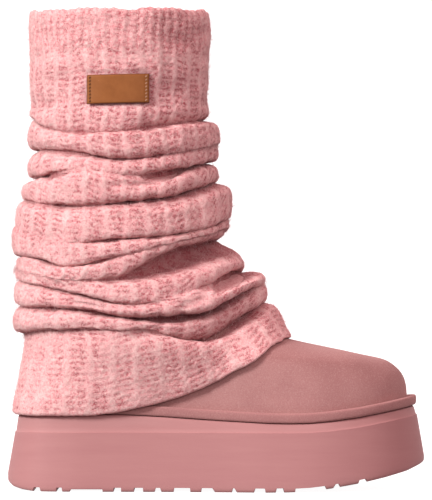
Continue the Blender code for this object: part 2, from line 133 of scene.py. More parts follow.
# Creases of the knit from the top down, every 30 degrees from the front by the big-toe side. HEIGHT over the
# platform is in thousandths of LEG_HEIGHT, and the rest is in hundredths of FOLD_DEPTH. DEPTH is the crease's
# own, UNDER the height of the fold's underside above it (below 0 where the fold hangs past it), SHOULDER the
# height of the next fold's rounded top, and WELL how far down the bottom of a gaping crease runs.
CREASES = [
    dict(HEIGHT=[730, 725, 712, 700, 704, 718, 737, 712, 697, 699, 714, 725],
         DEPTH=[75, 55, 40, 36, 40, 40, 36, 28, 24, 26, 42, 58],
         UNDER=[60, 30, 50, 50, 40, 30, 30, 80, 120, 140, 130, 90],
         SHOULDER=[30, 30, 30, 30, 40, 60, 60, 40, 25, 20, 20, 20]),
    dict(HEIGHT=[675, 668, 655, 640, 646, 654, 657, 656, 647, 632, 644, 660],
         DEPTH=[0, 5, 25, 45, 50, 55, 66, 42, 42, 56, 34, 5],
         UNDER=[30, 40, 60, 60, 50, 40, 40, 80, 120, 150, 140, 80],
         SHOULDER=[50, 50, 40, 40, 50, 60, 80, 80, 70, 50, 50, 50]),
    dict(HEIGHT=[626, 620, 610, 598, 594, 590, 585, 591, 601, 592, 594, 618],
         DEPTH=[80, 66, 50, 15, 10, 60, 120, 56, 5, 8, 58, 75],
         UNDER=[10, 30, 50, 40, 30, 20, 0, 10, 30, 60, 60, 20],
         SHOULDER=[40, 40, 40, 50, 50, 50, 60, 50, 40, 40, 40, 40]),
    dict(HEIGHT=[575, 562, 545, 536, 530, 530, 533, 525, 519, 530, 541, 564],
         DEPTH=[70, 80, 85, 80, 60, 40, 30, 40, 62, 85, 95, 85],
         UNDER=[0, -20, -20, -10, 10, 10, 10, 0, -10, -30, -20, -10],
         SHOULDER=[50, 50, 50, 50, 60, 70, 80, 70, 50, 50, 50, 50]),
    dict(HEIGHT=[486, 470, 456, 450, 446, 455, 463, 445, 427, 436, 447, 468],
         DEPTH=[10, 30, 45, 45, 20, 0, 0, 0, 5, 56, 60, 40],
         UNDER=[10, 10, 20, 20, 20, 30, 30, 20, 0, 0, 10, 10],
         SHOULDER=[30, 30, 30, 30, 40, 50, 50, 50, 40, 30, 30, 30]),
    dict(HEIGHT=[461, 440, 415, 400, 385, 390, 393, 393, 368, 393, 426, 452],
         DEPTH=[0, 0, 0, 20, 50, 50, 45, 42, 50, 24, 0, 0],
         UNDER=[20, 20, 20, 30, 20, 30, 30, 20, 20, 30, 30, 20],
         SHOULDER=[40, 40, 40, 40, 50, 70, 80, 70, 50, 40, 40, 40]),
    dict(HEIGHT=[433, 410, 372, 352, 350, 360, 363, 350, 336, 342, 400, 424],
         DEPTH=[133, 110, 85, 45, 10, 0, 0, 0, 2, 55, 120, 130],
         UNDER=[50, 70, 80, 50, 30, 30, 30, 30, 30, 40, 50, 50],
         SHOULDER=[160, 120, 60, 40, 40, 40, 40, 40, 40, 40, 40, 80],
         WELL=[0, 0, 0, 0, 0, 0, 0, 0, 0, 15, 95, 50]),
    dict(HEIGHT=[353, 330, 302, 300, 310, 325, 336, 326, 303, 276, 302, 346],
         DEPTH=[90, 50, 15, 35, 45, 35, 20, 30, 38, 24, 0, 85],
         UNDER=[10, 20, 30, 30, 20, 10, 10, 10, 20, 50, 30, 0],
         SHOULDER=[30, 30, 40, 40, 50, 60, 70, 60, 40, 40, 50, 60],
         WELL=[0, 0, 0, 0, 0, 0, 0, 0, 0, 0, 20, 40]),
    dict(HEIGHT=[320, 288, 262, 256, 262, 268, 273, 267, 263, 243, 256, 304],
         DEPTH=[4, 30, 60, 76, 60, 50, 34, 42, 50, 80, 100, 66],
         UNDER=[10, 0, -20, -10, 10, 10, 10, 0, 0, 0, 0, 10],
         SHOULDER=[50, 50, 50, 50, 50, 60, 80, 60, 40, 40, 60, 50],
         WELL=[0, 0, 0, 0, 0, 0, 0, 0, 0, 10, 35, 20]),
    dict(HEIGHT=[277, 243, 200, 196, 204, 210, 201, 210, 212, 211, 185, 240],
         DEPTH=[42, 60, 50, 10, 15, 22, 25, 26, 22, 17, 68, 82],
         UNDER=[30, 50, 70, 50, 70, 90, 100, 80, 40, 30, 120, 120],
         SHOULDER=[40, 30, 30, 40, 50, 60, 60, 60, 50, 40, 20, 20]),
]
# Fullest line of each fold: front x, back x, half width (share of KNIT_WIDTH), place between its two creases.
FOLDS = [
    (0.0064, -0.4486, 0.485, 0.45), (-0.001, -0.4518, 0.485, 0.55),
    (0.0039, -0.4643, 0.5, 0.5), (0.0364, -0.48, 0.51, 0.45),
    (0.03, -0.4886, 0.505, 0.5), (0.018, -0.48, 0.5, 0.3),
    (0.0682, -0.482, 0.505, 0.72), (0.115, -0.4886, 0.5, 0.5),
    (0.1206, -0.4893, 0.49, 0.5), (0.143, -0.4625, 0.47, 0.22),
]
# How far the fold under the last crease but one is sunk, every 30 degrees as above, a share of FOLD_DEPTH.
SUNK = [0.05, 0.2, 0.25, 0.15, 0.05, 0.0, 0.0, 0.0, 0.05, 0.1, 0.34, 0.26]
# Small tucks on the near side, metres: x and height of the middle, half length, half width, rise, depth.
TUCKS = [
    (0.0085, 0.1385, 0.0085, 0.003, 0.5, 0.006), (0.003, 0.1345, 0.0035, 0.0045, -0.4, 0.004),
    (-0.106, 0.21, 0.009, 0.0016, 0.22, 0.0028), (-0.06, 0.2035, 0.012, 0.003, 0.15, 0.0012),
    (-0.086, 0.124, 0.013, 0.0018, -0.18, 0.0016), (-0.045, 0.106, 0.015, 0.004, 0.25, 0.0014),
    (-0.035, 0.189, 0.012, 0.002, 0.1, 0.0018), (-0.038, 0.208, 0.017, 0.0034, 0.38, 0.0034),
    (-0.015, 0.125, 0.014, 0.004, 0.55, 0.002),
]
CUFF = (-0.0155, -0.4475, 0.47)
HEM = (0.16, -0.464, 0.4)
HEM_HEIGHT = [0.19, 0.16, 0.09, 0.035, 0.006, 0.003, 0.006, 0.003, 0.004, 0.032, 0.09, 0.16]
# Rows of the rim: height above or below the rim, and distance in from the cuff's outside.
RIM = [
    (-0.003, KNIT_WALL), (-0.0004, KNIT_WALL * 0.9), (0.0006, KNIT_WALL * 0.5), (-0.0004, 0.0004),
    (-0.004, -0.0002),
]
# Rows of the cuff: share of LEG_HEIGHT, and distance in.
CUFF_ROWS = [(0.94, 0.0006), (0.88, -0.0002), (0.82, 0.0008), (0.77, 0.0022)]
LABEL_X = -0.2316 * SOLE_LENGTH
LABEL_Z = PLATFORM_HEIGHT + 0.8025 * LEG_HEIGHT


def turns(count):
    """Equal angles round a ring, from the toe by the big-toe side."""
    return 2 * np.pi * np.arange(count) / count


def cubic(nearest, f):
    """The smooth curve from the second to the third of four equally spaced values, a share f along."""
    a, b, c, d = nearest
    return b + 0.5 * f * (c - a + f * (2 * a - 5 * b + 4 * c - d + f * (3 * (b - c) + d - a)))


def around(values, angles):
    """A closed row of equally spaced values, read at any angles by a cubic through its four nearest."""
    values = np.asarray(values, float)
    place = angles / (2 * np.pi) * len(values)
    low = np.floor(place).astype(int)
    return cubic((values[(low + step) % len(values)] for step in (-1, 0, 1, 2)), place - low)


def along(table, x):
    """A side-view height of the platform at x, from straight runs between the table's places."""
    return PLATFORM_HEIGHT * np.interp(x / SOLE_LENGTH, SIDE_X, table)


def unit(vectors):
    return vectors / np.maximum(np.linalg.norm(vectors, axis=-1, keepdims=True), 1e-12)


def outward(loop):
    """The level direction out of a closed loop: its own direction turned by a right angle."""
    step = np.roll(loop, -1, axis=0) - np.roll(loop, 1, axis=0)
    return unit(np.stack([step[:, 1], -step[:, 0]], axis=1))


def outline(inset, angles):
    """The platform's plan, moved in: x is half the length times the angle's cosine, y is read from PLAN."""
    loop = np.stack([SOLE_LENGTH / 2 * np.cos(angles), SOLE_WIDTH * around(PLAN, angles)], axis=1)
    return loop - outward(loop) * inset


def at_height(loop, z):
    return np.column_stack([loop, np.broadcast_to(z, len(loop))])


def smooth_rows(rows, per_span):
    """Rows of a surface joined by cubics that pass through each of them."""
    last = len(rows) - 1
    place = np.linspace(0, last, last * per_span + 1)
    low = np.minimum(place.astype(int), last - 1)
    nearest = (rows[np.clip(low + step, 0, last)] for step in (-1, 0, 1, 2))
    return cubic(nearest, (place - low)[:, None, None])


def soft_rows(rows, per_span):
    """Rows of a surface as the controls of a cubic B-spline, which passes near them and never overshoots."""
    rows = np.concatenate([rows[:1], rows[:1], rows, rows[-1:], rows[-1:]])
    spans = len(rows) - 3
    place = np.linspace(0, spans, spans * per_span + 1)
    low = np.minimum(place.astype(int), spans - 1)
    f = (place - low)[:, None, None]
    a, b, c, d = (rows[low + step] for step in range(4))
    near, far = (3 * f**3 - 6 * f**2 + 4) * b, (1 + 3 * f + 3 * f**2 - 3 * f**3) * c
    return ((1 - f) ** 3 * a + near + far + f**3 * d) / 6


def normals_of(rows):
    """The way out of a surface whose columns close on themselves: its steps across and up, crossed."""
    across = np.roll(rows, -1, axis=1) - np.roll(rows, 1, axis=1)
    return unit(np.cross(across, np.gradient(rows, axis=0)))


def swell(points, wavelength, seed):
    """A smooth irregular field from -1 to 1: sines of about one wavelength in random directions, added up."""
    rng, waves = np.random.default_rng(seed), 14
    way = unit(rng.normal(size=(waves, 3))) * rng.uniform(0.7, 1.4, (waves, 1)) * 2 * np.pi / wavelength
    shift = rng.uniform(0, 2 * np.pi, waves)
    total = sum(np.sin(points @ way[k] + shift[k]) for k in range(waves))
    return total / np.sqrt(waves * 0.5) / 1.6


def held(value):
    """A value held between 0 and 1."""
    return np.clip(value, 0, 1)


def bell(first, second=0.0):
    """A smooth bump: 1 where both places are 0, and next to nothing from 2 on."""
    return np.exp(-(first**2) - second**2)


def hollows_of(rows, reach):
    """How far each point lies inside the mean of its column from reach rows above it to reach rows below."""
    away = np.linalg.norm(rows[..., :2] - rows[..., :2].mean(axis=1, keepdims=True), axis=2)
    padded = np.pad(away, ((reach + 1, reach), (0, 0)), mode="edge")
    total = np.cumsum(padded, axis=0)
    return (total[2 * reach + 1:] - total[:-2 * reach - 1]) / (2 * reach + 1) - away


def ring_faces(rows, columns, closed_rows):
    """Quads over a grid whose columns close on themselves, and whose rows may too."""
    low = np.arange(rows if closed_rows else rows - 1)[:, None]
    left = np.arange(columns)[None]
    high, right = (low + 1) % rows, (left + 1) % columns
    corners = [low * columns + left, low * columns + right, high * columns + right, high * columns + left]
    return np.stack(corners, axis=-1).reshape(-1, 4)


def add_object(name, data):
    item = bpy.data.objects.new(name, data)
    bpy.context.scene.collection.objects.link(item)
    return item


def add_piece(name, points, faces, materials, shades=None):
    """A piece from points and equal-sided faces, turned outwards by the sign of the volume they enclose."""
    points = np.asarray(points, float).reshape(-1, 3)
    faces = np.asarray(faces)
    first = points[faces[:, 0]]
    volume = sum(
        np.einsum("ij,ij->i", first, np.cross(points[faces[:, k]], points[faces[:, k + 1]])).sum()
        for k in range(1, faces.shape[1] - 1)
    )
    if volume < 0:
        faces = faces[:, ::-1]
    mesh = bpy.data.meshes.new(name)
    mesh.vertices.add(len(points))
    mesh.vertices.foreach_set("co", points.astype(np.float32).ravel())
    mesh.loops.add(faces.size)
    mesh.loops.foreach_set("vertex_index", faces.astype(np.int32).ravel())
    mesh.polygons.add(len(faces))
    mesh.polygons.foreach_set("loop_start", np.arange(0, faces.size, faces.shape[1], dtype=np.int32))
    mesh.update(calc_edges=True)
    mesh.polygons.foreach_set("use_smooth", np.ones(len(faces), bool))
    for label, values in (shades or {}).items():
        layer = mesh.attributes.new(label, "FLOAT", "POINT")
        layer.data.foreach_set("value", np.asarray(values, np.float32).ravel())
    for material in materials:
        mesh.materials.append(material)
    item = add_object(name, mesh)
    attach(item, "root")
    return item


def ink(red, green, blue):
    """A colour given as it looks on screen, 0 to 255, as the linear light that a shader takes."""
    share = np.array([red, green, blue]) / 255
    return (*np.where(share <= 0.04045, share / 12.92, ((share + 0.055) / 1.055) ** 2.4), 1.0)


def fill(tree, node, values):
    """Sets a node's inputs, or links them where the value is another node's output."""
    for key, value in values.items():
        if hasattr(value, "links"):
            tree.links.new(value, node.inputs[key])
        else:
            node.inputs[key].default_value = value
    return node


def add_node(tree, kind, values):
    node = tree.nodes.new("ShaderNode" + kind)
    if kind == "Mix":
        node.data_type = "RGBA"
    return fill(tree, node, values)


def map_range(tree, value, low, high, out_low, out_high):
    """A value stretched so that low to high becomes out_low to out_high, and held there."""
    ends = {"From Min": low, "From Max": high, "To Min": out_low, "To Max": out_high}
    return add_node(tree, "MapRange", {"Value": value, **ends}).outputs["Result"]


class Surface:
    """A material's nodes, added one line at a time."""

    def __init__(self, name, roughness, sheen=0.0, sheen_tint=(1, 1, 1, 1)):
        self.material = bpy.data.materials.new(name)
        self.material.use_nodes = True
        self.tree = self.material.node_tree
        self.fill({"Roughness": roughness, "Specular IOR Level": 0.25})
        self.fill({"Sheen Weight": sheen, "Sheen Roughness": 0.6, "Sheen Tint": sheen_tint})
        self.place = self.node("TexCoord", {}, "Object")

    def fill(self, values):
        fill(self.tree, self.tree.nodes["Principled BSDF"], values)

    def node(self, kind, values, output=0):
        return add_node(self.tree, kind, values).outputs[output]

    def noise(self, scale, detail=3.0, rough=0.55, stretch=(1, 1, 1), shift=0.0):
        """Noise over the piece's own place, scale in lumps a metre, squeezed along the axes by stretch."""
        moved = {"Vector": self.place, "Scale": stretch, "Location": (shift, shift, shift)}
        place = self.node("Mapping", moved)
        lumps = {"Vector": place, "Scale": scale, "Detail": detail, "Roughness": rough}
        return self.node("TexNoise", lumps, "Fac")

    def reach(self, value, low, high, out_low=0.0, out_high=1.0):
        return map_range(self.tree, value, low, high, out_low, out_high)

    def add(self, first, second):
        return self.node("Math", {0: first, 1: second})

    def away_from_middle(self, value):
        """How far a value is from a half, either way."""
        size = add_node(self.tree, "Math", {0: self.add(value, -0.5)})
        size.operation = "ABSOLUTE"
        return size.outputs[0]

    def blend(self, share, first, second):
        """Two colours mixed by a share."""
        return self.node("Mix", {0: share, 6: first, 7: second}, 2)

    def painted(self, label):
        node = add_node(self.tree, "Attribute", {})
        node.attribute_name = label
        return node.outputs["Fac"]

    def colour(self, value):
        self.fill({"Base Color": value})

    def bump(self, height, distance, strength):
        values = {"Height": height, "Distance": distance, "Strength": strength}
        self.fill({"Normal": self.node("Bump", values)})


def knit_material():
    """Brushed heather: pale and rose lumps of yarn, dark rose in the gaps of the knit, a painted shade darker
    still in its creases, and pale curling hairs over all, drawn where a noise crosses its middle value."""
    knit = Surface("heather_knit", 1.0, 0.2, ink(255, 214, 212))
    patches = knit.reach(knit.noise(120, 4), 0.36, 0.64)
    pale = knit.blend(patches, ink(232, 190, 187), ink(226, 169, 170))
    grain = knit.noise(460, 3, 0.6)
    gaps = knit.add(knit.painted("hollow"), knit.reach(grain, 0.3, 0.7, -0.36, 0.36))
    yarn = knit.blend(knit.reach(gaps, 0.0, 0.42), pale, ink(212, 136, 140))
    yarn = knit.blend(knit.reach(gaps, 0.4, 0.84), yarn, ink(166, 76, 84))
    speckle = knit.noise(900, 2, 0.5)
    yarn = knit.blend(knit.reach(speckle, 0.5, 0.64, 0, 0.55), yarn, ink(192, 110, 117))
    flock = knit.noise(1500, 2, 0.5, shift=5.1)
    yarn = knit.blend(knit.reach(flock, 0.5, 0.62, 0, 0.5), yarn, ink(236, 203, 199))
    for scale, seed, amount in ((380, 0.0, 0.6), (560, 7.3, 0.55)):
        line = knit.away_from_middle(knit.noise(scale, 1.5, 0.5, shift=seed))
        yarn = knit.blend(knit.reach(line, 0.0, 0.042, amount, 0.0), yarn, ink(236, 206, 201))
    # painted shade: the yarn turns a deep rose in the creases and deep hollows, where the folds shade it
    sunk = knit.reach(knit.painted("crease"), 0.05, 0.8, 0.0, 0.68)
    knit.colour(knit.blend(sunk, yarn, ink(124, 46, 52)))
    knit.bump(knit.noise(820, 5, 0.7), 0.001, 0.7)
    return knit.material


def suede_material(name, base, dark, pale):
    """Suede: a short nap in small speckles over wide soft patches where it has been stroked either way, and
    darker on what faces up, a painted shade."""
    suede = Surface(name, 0.95, 0.25, ink(240, 200, 195))
    colour = suede.blend(suede.reach(suede.noise(45, 2), 0.4, 0.6, 0, 0.35), base, dark)
    # painted shade: the suede darker on what faces up
    colour = suede.blend(suede.reach(suede.painted("up_facing_shade"), 0, 1, 0, 0.5), colour, ink(122, 76, 74))
    colour = suede.blend(suede.reach(suede.noise(1300, 2, 0.5), 0.5, 0.66, 0, 0.42), colour, pale)
    colour = suede.blend(suede.reach(suede.noise(1150, 2, 0.5, shift=3.1), 0.52, 0.7, 0, 0.6), colour, dark)
    suede.colour(colour)
    suede.bump(suede.noise(1100, 4, 0.65), 0.0004, 0.6)
    return suede.material


def foam_material(name, base, pale):
    """Moulded foam: almost even, with faint level streaks."""
    foam = Surface(name, 0.62)
    streaks = foam.reach(foam.noise(70, 4, 0.6, (0.25, 0.25, 2.5)), 0.35, 0.7)
    foam.colour(foam.blend(streaks, base, pale))
    foam.bump(foam.noise(900, 3), 0.00012, 0.5)
    return foam.material


def fleece_material():
    """Sheared fleece: pale curls with darker partings."""
    fleece = Surface("fleece", 1.0, 0.4, ink(255, 240, 235))
    curls = fleece.reach(fleece.noise(230, 4, 0.6), 0.35, 0.65)
    fleece.colour(fleece.blend(curls, ink(192, 141, 139), ink(218, 183, 180)))
    fleece.bump(fleece.noise(420, 5, 0.7), 0.002, 0.8)
    return fleece.material


def leather_material():
    """Tan patch leather: fine grain and a slightly cloudy dye."""
    leather = Surface("tan_leather", 0.55)
    cloud = leather.reach(leather.noise(160, 4), 0.3, 0.7)
    colour = leather.blend(cloud, ink(144, 88, 40), ink(132, 78, 32))
    leather.colour(leather.blend(leather.painted("edge"), colour, ink(87, 46, 26)))
    leather.bump(leather.noise(1500, 3), 0.00015, 0.5)
    return leather.material


def plain_material(name, roughness, sheen, colour):
    """One colour all over, for threads and loose hairs."""
    plain = Surface(name, roughness, sheen)
    plain.colour(colour)
    return plain.material


def upper_rings(angles):
    """The outside of the upper as rings from the platform to the collar. Each ring runs from its back to its
    front point, tilted between their heights, and turns from the footprint's shape into an oval."""
    foot = outline(FLARE + UPPER_INSET, angles)
    rings = [at_height(foot, along(SIDE_TOP, foot[:, 0]) + FIT)]
    low, high = foot[:, 0].min(), foot[:, 0].max()
    place = (foot[:, 0] - (high + low) / 2) / ((high - low) / 2)
    share = (place + 1) / 2
    for front, front_z, back, back_z, width, oval in UPPER:
        centre, reach = (front + back) / 2 * SOLE_LENGTH, (front - back) / 2 * SOLE_LENGTH
        y = (1 - oval) * width * foot[:, 1] + oval * ANKLE_WIDTH / 2 * np.sin(angles)
        x = centre + reach * ((1 - oval) * place + oval * np.cos(angles))
        level = PLATFORM_HEIGHT + UPPER_HEIGHT * (back_z + (front_z - back_z) * share)
        follow = max(0.0, 1 - 4 * oval) * (along(SIDE_TOP, x) - PLATFORM_HEIGHT * (1 + 0.12 * share))
        rings.append(np.column_stack([x, y, level + 0.75 * follow]))
    return np.array(rings)


def make_upper(suede, fleece):
    """The suede outside is the rings' smooth surface, and the fleece the same surface moved in and curled."""
    angles = turns(300)
    outside = smooth_rows(upper_rings(angles), 7)
    normals = normals_of(outside)
    soft = 0.00035 * swell(outside, 0.035, 3)
    outside = outside + normals * soft[..., None]
    inside = outside[::3] - normals[::3] * UPPER_WALL * 0.9
    inside[0, :, 2] = outside[0, :, 2]
    rows = np.concatenate([outside, inside[::-1]])
    up_facing_shade = held(2.2 * normals_of(rows)[..., 2] - 0.3)  # painted shade: 1 on what faces up, where the suede is darkened
    up_facing_shade[len(outside):] = 0
    faces = ring_faces(len(rows), len(angles), True)
    upper = add_piece("suede_upper", rows, faces, [suede], {"up_facing_shade": up_facing_shade})
    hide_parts("upper")
    lining_out = outside[6::3] - normals[6::3] * UPPER_WALL
    curls = 0.003 + 0.0011 * swell(lining_out, 0.007, 11) + 0.0006 * swell(lining_out, 0.0035, 12)
    lining_in = lining_out - normals[6::3] * curls[..., None]
    roll = lining_out[-1:] * 0.5 + lining_in[-1:] * 0.5 + np.array([0, 0, 0.0022])
    rows = np.concatenate([lining_out[::3], roll, lining_in[::-1]])
    add_piece("fleece_lining", rows, ring_faces(len(rows), len(angles), True), [fleece])
    return outside


def make_footbed(fleece):
    """The footbed: a fleece-topped plate. Its rings shrink towards a middle line, and curls lift the top."""
    angles = turns(200)
    foot = outline(FLARE + UPPER_INSET + UPPER_WALL + 0.0012, angles)
    rows = []
    for inset, height in ((0.0, 0.0), (0.0, 0.003), (0.0008, 0.0042)):
        loop = foot - outward(foot) * inset
        rows.append(at_height(loop, along(SIDE_TOP, loop[:, 0]) + FIT + height))
    top = rows[-1]
    for share in np.linspace(0.92, 0.0, 18):
        loop = top[:, :2] * (1, share)
        row = at_height(loop, along(SIDE_TOP, loop[:, 0]) + FIT + 0.0045)
        row[:, 2] += 0.0007 * (swell(row, 0.006, 21) + 0.5 * swell(row, 0.0032, 22))
        rows.append(row)
    rows = np.array([rows[0] * (1, 0, 1), *rows])
    footbed = add_piece("footbed", rows, ring_faces(len(rows), len(angles), False), [fleece])
    close_middles(footbed)
    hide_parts("insole")


def close_middles(item):
    """Sews points that meet on a middle line, and drops the faces that this leaves without an area."""
    mesh = item.data
    work = bmesh.new()
    work.from_mesh(mesh)
    bmesh.ops.remove_doubles(work, verts=work.verts, dist=0.00002)
    bmesh.ops.dissolve_degenerate(work, edges=work.edges, dist=0.00001)
    bmesh.ops.recalc_face_normals(work, faces=work.faces)
    work.to_mesh(mesh)
    work.free()


def make_welt(suede):
    """The binding: a rounded strip section carried round the foot of the upper, a little uneven by hand."""
    angles = turns(480)
    foot = outline(FLARE + UPPER_INSET, angles)
    away = outward(foot)
    width = WELT_WIDTH * (0.82 + 0.18 * np.cos(angles))
    turn = np.linspace(0, 2 * np.pi, 28, endpoint=False)
    section = (0.5 + 0.5 * np.abs(v) ** 0.6 * np.sign(v) for v in (np.cos(turn), np.sin(turn)))
    uneven = 0.00018 * swell(at_height(foot, 0.06), 0.03, 31)
    rows = []
    for out, high in zip(*section):
        loop = foot + away * (FIT + out * (width + uneven))[:, None]
        rows.append(at_height(loop, along(SIDE_TOP, loop[:, 0]) + 1.3 * FIT + high * WELT_HEIGHT))
    welt = add_piece("suede_welt", rows, ring_faces(len(rows), len(angles), True), [suede])
    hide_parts("welt")


def tread_depth(x):
    """How far the tread is cut up from the floor at each x."""
    depth = np.zeros_like(x)
    for middle, width, share in GROOVES:
        depth = np.where(np.abs(x / SOLE_LENGTH - middle) < width / 2, share * LUG_HEIGHT, depth)
    return depth


def make_platform(foam, foam_painted_lighter):
    """The platform: rings of its plan carried from the tread to the top, and strips across for its two faces.
    Rings have a pair of points at each groove's wall, so that the lugs have square edges."""
    walls = np.array([m + side * w / 2 for m, w, _ in GROOVES for side in (-1, 1)])
    steps = np.arccos(np.clip(2 * np.concatenate([walls - 0.0003, walls + 0.0003]), -1, 1))
    half = np.unique(np.concatenate([np.linspace(0, np.pi, 240), steps]))
    angles = np.concatenate([half, 2 * np.pi - half[-2:0:-1]])
    rows = []
    under = outline(EDGE_ROUND * 0.8, angles)
    cut = tread_depth(under[:, 0])
    foot = along(SIDE_FOOT, under[:, 0])
    for inset, height in ((0.8, 0.0), (0.3, 0.12), (0.05, 0.45), (0.0, 1.0)):
        loop = outline(EDGE_ROUND * inset, angles)
        rows.append(at_height(loop, np.maximum(foot + height * EDGE_ROUND, foot + cut)))
    loop = outline(0.0, angles)
    low = along(SIDE_FOOT, loop[:, 0]) + LUG_HEIGHT * 1.15
    rows.append(at_height(loop, low))
    step_in = FLARE * 0.69  # how far in the wall is where it meets the step
    for share in np.linspace(0.12, 1.0, 12):
        ring = outline(step_in * share, angles)
        step = along(SIDE_STEP, ring[:, 0])
        rows.append(at_height(ring, low + (step - low) * share))
    first_band = len(rows)  # from here up the wall is the band's, in a copy of the foam painted lighter for the light it catches
    for inset, rise in ((step_in + STEP_DEPTH * 0.6, 0.0002), (step_in + STEP_DEPTH, 0.0007)):
        ring = outline(inset, angles)
        rows.append(at_height(ring, along(SIDE_STEP, ring[:, 0]) + rise))
    for share in (0.3, 0.6, 0.85):
        ring = outline(step_in + STEP_DEPTH + (FLARE * 0.31 - STEP_DEPTH) * share, angles)
        low, high = along(SIDE_STEP, ring[:, 0]) + 0.0007, along(SIDE_TOP, ring[:, 0]) - 0.001
        rows.append(at_height(ring, low + (high - low) * share))
    for inset, drop in ((0.0, 0.0012), (0.35, 0.0004), (1.0, 0.0)):
        ring = outline(FLARE + EDGE_ROUND * 0.6 * inset, angles)
        rows.append(at_height(ring, along(SIDE_TOP, ring[:, 0]) - drop))
    top = rows[-1]
    rows += [top * (1, share, 1) for share in (0.6, 0.2, 0.0)]
    middle = 0.16 * SOLE_WIDTH  # of each lengthwise groove, from the sole's own middle
    near, far = middle - RIB_WIDTH / 2, middle + RIB_WIDTH / 2
    sole = []
    for y, grooved in ((0.0, 0), (near - 0.0004, 0), (near, 1), (far, 1), (far + 0.0004, 0), (0.0325, 0)):
        across = np.minimum(y, 0.9 * np.abs(under[:, 1])) * np.sign(under[:, 1])
        inside = grooved * (np.abs(under[:, 0] + 0.0322) < 0.0798)
        depth = np.maximum(cut, 0.8 * LUG_HEIGHT * inside)
        sole.append(at_height(np.column_stack([under[:, 0], across]), foot + depth))
    rows = np.array([*sole, *rows])
    faces = ring_faces(len(rows), len(angles), False)
    item = add_piece("foam_platform", rows, faces, [foam, foam_painted_lighter])
    start = first_band + len(sole)
    index = np.zeros(len(item.data.polygons), np.int32)
    index[start * len(angles):(len(rows) - 5) * len(angles)] = 1
    item.data.polygons.foreach_set("material_index", index)
    close_middles(item)
    item.data.set_sharp_from_angle(angle=np.radians(38))
    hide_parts("platform_sole")


def oval_row(size, z, inset, angles):
    """A level oval from a front x, a back x and a half width, moved in by inset."""
    front, back, width = size[:3]
    loop = np.stack([
        SOLE_LENGTH * ((front + back) / 2 + (front - back) / 2 * np.cos(angles)),
        KNIT_WIDTH * width * np.sin(angles),
    ], axis=1)
    return at_height(loop - outward(loop) * np.broadcast_to(inset, len(angles))[:, None], z)


def closest(points, cloud, normals):
    """The nearest point of a cloud to each point, with its normal."""
    spots = np.concatenate([
        np.argmin(((part[:, None] - cloud[None]) ** 2).sum(axis=2), axis=1)
        for part in np.array_split(points, max(1, len(points) // 200))
    ])
    return cloud[spots], normals[spots]


def clear_of(row, cloud, normals, angles):
    """A row moved out along the upper's normals until it clears the upper and, lower down, the welt."""
    row = row.copy()
    for _ in range(3):
        spot, normal = closest(row, cloud, normals)
        low = held((along(SIDE_TOP, spot[:, 0]) + WELT_HEIGHT + 0.0042 - row[:, 2]) / 0.004)
        least = 3 * FIT + WELT_WIDTH * low * (0.82 + 0.18 * np.cos(angles))
        short = least - ((row - spot) * normal).sum(axis=1)
        row += normal * np.maximum(short, 0)[:, None]
    return row


def evened(row, width=9):
    """A closed row with small steps averaged away over its neighbours."""
    weights = np.hanning(width + 2)[1:-1]
    weights /= weights.sum()
    return sum(w * np.roll(row, k - width // 2, axis=0) for k, w in enumerate(weights))


